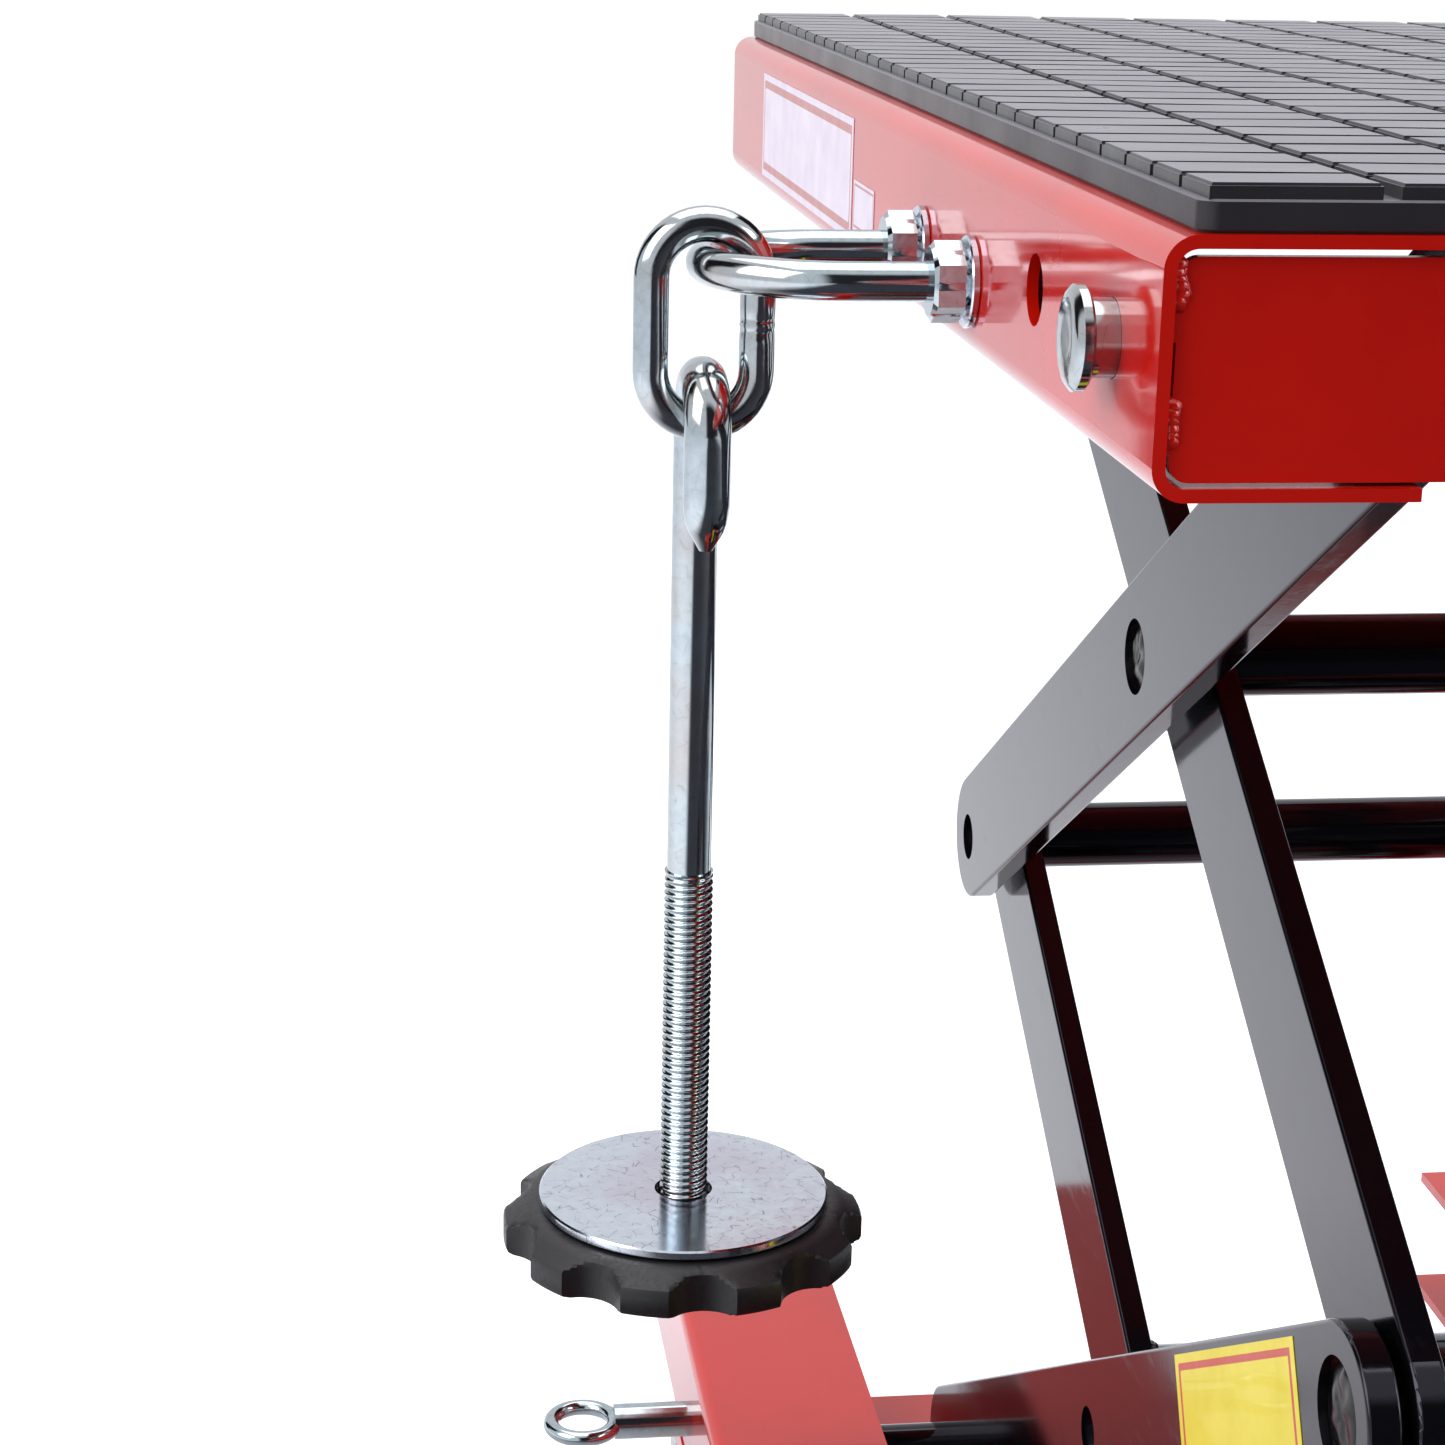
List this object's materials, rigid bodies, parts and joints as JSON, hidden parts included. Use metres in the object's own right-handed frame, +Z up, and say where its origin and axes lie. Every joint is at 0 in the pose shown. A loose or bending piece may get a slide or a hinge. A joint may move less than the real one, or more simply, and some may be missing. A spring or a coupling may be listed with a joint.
{
  "type": "scissor lift",
  "caption": "Low two-stage scissor lift with a rubber-padded steel deck, foot pump, rail rollers and two hanging threaded tie-down hooks.",
  "frame": {"origin": "on the floor at the centre of the lift's bounding box", "axes": "+X across the deck to the right, +Y along the deck away from the pedals, +Z up"},
  "size_m": [0.436, 0.6776, 0.4578],
  "materials": {
    "red_paint": "gloss enamel",
    "black_paint": "gloss enamel",
    "zinc_plate": "bright zinc plate",
    "bare_steel": "turned steel",
    "knob_plastic": "moulded, fine texture",
    "pad_rubber": "moulded ribbed rubber",
    "foot_rubber": "moulded rubber",
    "wheel_nylon": "turned nylon"
  },
  "bodies": {
    "base": {"left_rail": "red_paint", "right_rail": "red_paint", "base_cross_bars": "red_paint", "base_pins": "zinc_plate", "ram_anchor": "red_paint", "caster_outriggers": "red_paint", "wheel_brackets": "red_paint", "wheel_bolts": "zinc_plate", "pump_block": "black_paint", "pressure_pipe": "bare_steel"},
    "lower_inner": {"left_lower_inner_arm": "black_paint", "right_lower_inner_arm": "black_paint", "lower_inner_sleeves": "black_paint", "lower_torsion_tube": "black_paint", "ram_lever": "black_paint"},
    "lower_outer": {"left_lower_outer_arm": "black_paint", "right_lower_outer_arm": "black_paint", "lower_centre_axle": "black_paint", "lower_outer_pins": "black_paint"},
    "base_rollers": {"base_rollers": "bare_steel"},
    "upper_outer": {"left_upper_outer_arm": "black_paint", "right_upper_outer_arm": "black_paint", "upper_outer_axles": "black_paint", "deck_pivot_sleeve": "black_paint"},
    "upper_inner": {"left_upper_inner_arm": "black_paint", "right_upper_inner_arm": "black_paint", "upper_centre_sleeve": "black_paint", "deck_roller_pins": "black_paint"},
    "deck_rollers": {"deck_rollers": "bare_steel"},
    "deck": {"deck_shell": "red_paint", "deck_end_plates": "red_paint", "rubber_pad": "pad_rubber", "deck_pivot_pin": "zinc_plate", "u_bolts": "zinc_plate", "u_bolt_washers": "zinc_plate", "u_bolt_nuts": "zinc_plate"},
    "ram_barrel": {"ram_barrel": "black_paint"},
    "ram_rod": {"ram_rod": "bare_steel"},
    "fixed_wheels": {"fixed_wheels": "wheel_nylon"},
    "pump_pedal": {"pump_pedal": "black_paint"},
    "plunger": {"pump_plunger": "bare_steel"},
    "release_pedal": {"release_pedal": "black_paint"},
    "left_link": {"left_chain_link": "zinc_plate"},
    "left_hook": {"left_hook": "zinc_plate"},
    "left_washer": {"left_hook_washer": "zinc_plate"},
    "left_knob": {"left_knob": "knob_plastic"},
    "left_lock": {"left_lock_pin": "zinc_plate"},
    "left_foot": {"left_foot": "foot_rubber"},
    "left_foot_screw": {"left_foot_screw": "zinc_plate"},
    "left_caster": {"left_caster_fork": "zinc_plate"},
    "left_caster_wheel": {"left_caster_wheel": "wheel_nylon"},
    "right_link": {"right_chain_link": "zinc_plate"},
    "right_hook": {"right_hook": "zinc_plate"},
    "right_washer": {"right_hook_washer": "zinc_plate"},
    "right_knob": {"right_knob": "knob_plastic"},
    "right_lock": {"right_lock_pin": "zinc_plate"},
    "right_foot": {"right_foot": "foot_rubber"},
    "right_foot_screw": {"right_foot_screw": "zinc_plate"},
    "right_caster": {"right_caster_fork": "zinc_plate"},
    "right_caster_wheel": {"right_caster_wheel": "wheel_nylon"}
  },
  "joints": [
    {"name": "lift", "type": "hinge", "parent": "base", "child": "lower_inner", "pos_m": [0, -0.10975, 0.0704], "axis": [1, 0, 0], "range_deg": [-10.42, 27.58]},
    {"name": "lower_cross", "type": "hinge", "parent": "lower_inner", "child": "lower_outer", "pos_m": [0, 0.04435, 0.16088], "axis": [1, 0, 0], "range_deg": [-55.66, 21.34]},
    {"name": "far_joint", "type": "hinge", "parent": "lower_inner", "child": "upper_outer", "pos_m": [0, 0.19845, 0.25136], "axis": [1, 0, 0], "range_deg": [-55.66, 21.34]},
    {"name": "upper_cross", "type": "hinge", "parent": "upper_outer", "child": "upper_inner", "pos_m": [0, 0.04435, 0.34185], "axis": [1, 0, 0], "range_deg": [-21.34, 55.66]},
    {"name": "deck_pivot", "type": "hinge", "parent": "upper_outer", "child": "deck", "pos_m": [0, -0.10975, 0.43233], "axis": [1, 0, 0], "range_deg": [-10.92, 28.08]},
    {"name": "ram_swing", "type": "hinge", "parent": "base", "child": "ram_barrel", "pos_m": [0, 0.08375, 0.062], "axis": [1, 0, 0], "range_deg": [-2.17, 4.91]},
    {"name": "ram_stroke", "type": "slide", "parent": "ram_barrel", "child": "ram_rod", "axis": [0, -0.8105, 0.5857], "range_m": [-0.01814, 0.04719]},
    {"name": "base_roller_spin", "type": "hinge", "parent": "lower_outer", "child": "base_rollers", "pos_m": [0, 0.19845, 0.0704], "axis": [1, 0, 0], "continuous": true},
    {"name": "deck_roller_spin", "type": "hinge", "parent": "upper_inner", "child": "deck_rollers", "pos_m": [0, 0.19845, 0.43233], "axis": [1, 0, 0], "continuous": true},
    {"name": "left_link_swing", "type": "hinge", "parent": "deck", "child": "left_link", "pos_m": [-0.176, 0.01575, 0.42683], "axis": [0, 1, 0], "range_deg": [-12, 65]},
    {"name": "left_hook_swing", "type": "hinge", "parent": "left_link", "child": "left_hook", "pos_m": [-0.176, 0.01575, 0.39655], "axis": [1, 0, 0], "range_deg": [-22, 22]},
    {"name": "left_washer_travel", "type": "slide", "parent": "left_hook", "child": "left_washer", "axis": [0, 0, 1], "range_m": [0, 0.03]},
    {"name": "left_knob_turn", "type": "hinge", "parent": "left_washer", "child": "left_knob", "pos_m": [-0.176, 0.02475, 0.23153], "axis": [0, 0, 1], "range_deg": [0, 7202]},
    {"name": "left_lock_pull", "type": "slide", "parent": "base", "child": "left_lock", "axis": [-1, 0, 0], "range_m": [0, 0.012], "stiffness_N_per_m": 300, "springref_m": -0.01},
    {"name": "left_foot_travel", "type": "slide", "parent": "base", "child": "left_foot", "axis": [0, 0, 1], "range_m": [0, 0.02]},
    {"name": "left_foot_turn", "type": "hinge", "parent": "left_foot", "child": "left_foot_screw", "pos_m": [-0.105, -0.17375, 0.008], "axis": [0, 0, 1], "range_deg": [0, 4118]},
    {"name": "left_caster_swivel", "type": "hinge", "parent": "base", "child": "left_caster", "pos_m": [-0.194, -0.12975, 0.026], "axis": [0, 0, 1], "continuous": true},
    {"name": "left_caster_roll", "type": "hinge", "parent": "left_caster", "child": "left_caster_wheel", "pos_m": [-0.194, -0.11475, 0.026], "axis": [1, 0, 0], "continuous": true},
    {"name": "right_link_swing", "type": "hinge", "parent": "deck", "child": "right_link", "pos_m": [0.176, 0.01575, 0.42683], "axis": [0, 1, 0], "range_deg": [-65, 12]},
    {"name": "right_hook_swing", "type": "hinge", "parent": "right_link", "child": "right_hook", "pos_m": [0.176, 0.01575, 0.39655], "axis": [1, 0, 0], "range_deg": [-22, 22]},
    {"name": "right_washer_travel", "type": "slide", "parent": "right_hook", "child": "right_washer", "axis": [0, 0, 1], "range_m": [0, 0.03]},
    {"name": "right_knob_turn", "type": "hinge", "parent": "right_washer", "child": "right_knob", "pos_m": [0.176, 0.02475, 0.23153], "axis": [0, 0, 1], "range_deg": [0, 7202]},
    {"name": "right_lock_pull", "type": "slide", "parent": "base", "child": "right_lock", "axis": [1, 0, 0], "range_m": [0, 0.012], "stiffness_N_per_m": 300, "springref_m": -0.01},
    {"name": "right_foot_travel", "type": "slide", "parent": "base", "child": "right_foot", "axis": [0, 0, 1], "range_m": [0, 0.02]},
    {"name": "right_foot_turn", "type": "hinge", "parent": "right_foot", "child": "right_foot_screw", "pos_m": [0.105, -0.17375, 0.008], "axis": [0, 0, 1], "range_deg": [0, 4118]},
    {"name": "right_caster_swivel", "type": "hinge", "parent": "base", "child": "right_caster", "pos_m": [0.194, -0.12975, 0.026], "axis": [0, 0, 1], "continuous": true},
    {"name": "right_caster_roll", "type": "hinge", "parent": "right_caster", "child": "right_caster_wheel", "pos_m": [0.194, -0.11475, 0.026], "axis": [1, 0, 0], "continuous": true},
    {"name": "fixed_wheel_roll", "type": "hinge", "parent": "base", "child": "fixed_wheels", "pos_m": [0, 0.29225, 0.022], "axis": [1, 0, 0], "continuous": true},
    {"name": "pump_pedal_press", "type": "hinge", "parent": "base", "child": "pump_pedal", "pos_m": [0, -0.17375, 0.1254], "axis": [-1, 0, 0], "range_deg": [-20, 0], "stiffness_Nm_per_rad": 3, "springref_deg": 28.65},
    {"name": "plunger_stroke", "type": "slide", "parent": "base", "child": "plunger", "axis": [0, 0, 1], "range_m": [-0.0095, 0.0001]},
    {"name": "release_pedal_press", "type": "hinge", "parent": "base", "child": "release_pedal", "pos_m": [0, -0.17375, 0.1254], "axis": [-1, 0, 0], "range_deg": [-12, 0], "stiffness_Nm_per_rad": 2, "springref_deg": 22.92}
  ],
  "couplings": [
    {"joint": "lower_cross", "follows": "lift", "ratio": -2},
    {"joint": "far_joint", "follows": "lift", "ratio": -2},
    {"joint": "upper_cross", "follows": "lift", "ratio": 2},
    {"joint": "deck_pivot", "follows": "lift", "ratio": 1},
    {"joint": "ram_swing", "follows": "lift", "ratio": 0.16},
    {"joint": "ram_stroke", "follows": "lift", "m_per_rad": 0.097},
    {"joint": "left_knob_turn", "follows": "left_washer_travel", "rad_per_m": 4188.8},
    {"joint": "left_foot_turn", "follows": "left_foot_travel", "rad_per_m": 3590.4},
    {"joint": "right_knob_turn", "follows": "right_washer_travel", "rad_per_m": 4188.8},
    {"joint": "right_foot_turn", "follows": "right_foot_travel", "rad_per_m": 3590.4},
    {"joint": "plunger_stroke", "follows": "pump_pedal_press", "m_per_rad": 0.0265}
  ]
}
